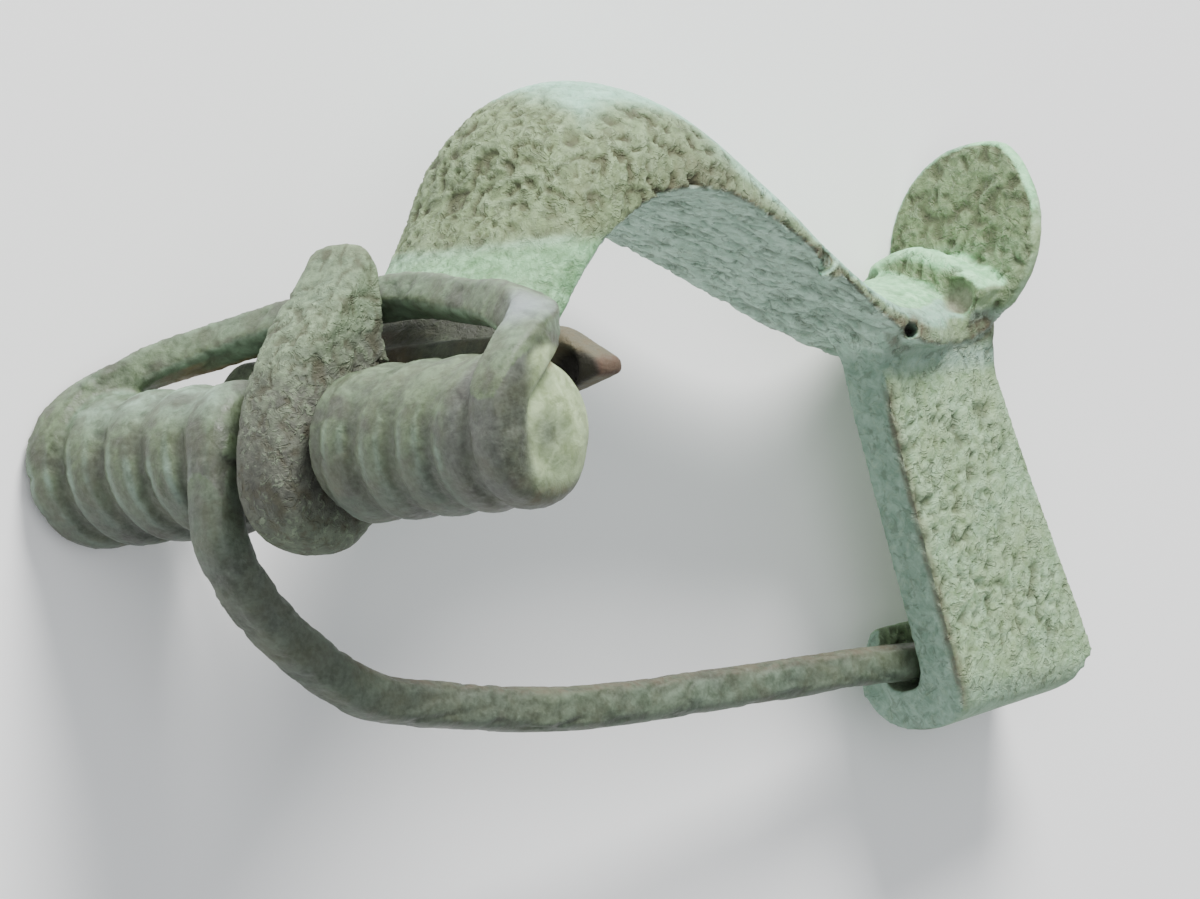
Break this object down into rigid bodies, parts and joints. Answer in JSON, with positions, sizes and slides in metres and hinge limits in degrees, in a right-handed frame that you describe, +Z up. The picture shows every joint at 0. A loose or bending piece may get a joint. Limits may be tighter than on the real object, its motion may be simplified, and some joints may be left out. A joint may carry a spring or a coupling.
{
  "type": "bow brooch",
  "caption": "Ancient copper-alloy bow brooch: thick humped bow, wire spring round a rod, curved pin held in a rolled catch, disc on the foot, green patina.",
  "frame": {"origin": "centre of the footprint's bounding box, on the surface that the brooch lies on", "axes": "+X from the spring towards the foot, +Y towards the top of the bow, +Z up from the surface to the near side of the brooch"},
  "size_m": [0.0522, 0.0302, 0.0283],
  "materials": {
    "bow_patina": "corroded green-grey patina",
    "wire_patina": "dark corroded patina",
    "rod_patina": "corroded yellow-green patina"
  },
  "bodies": {
    "root": {"bow": "bow_patina", "spring_and_pin": "wire_patina", "axis_rod": "rod_patina"}
  },
  "joints": []
}
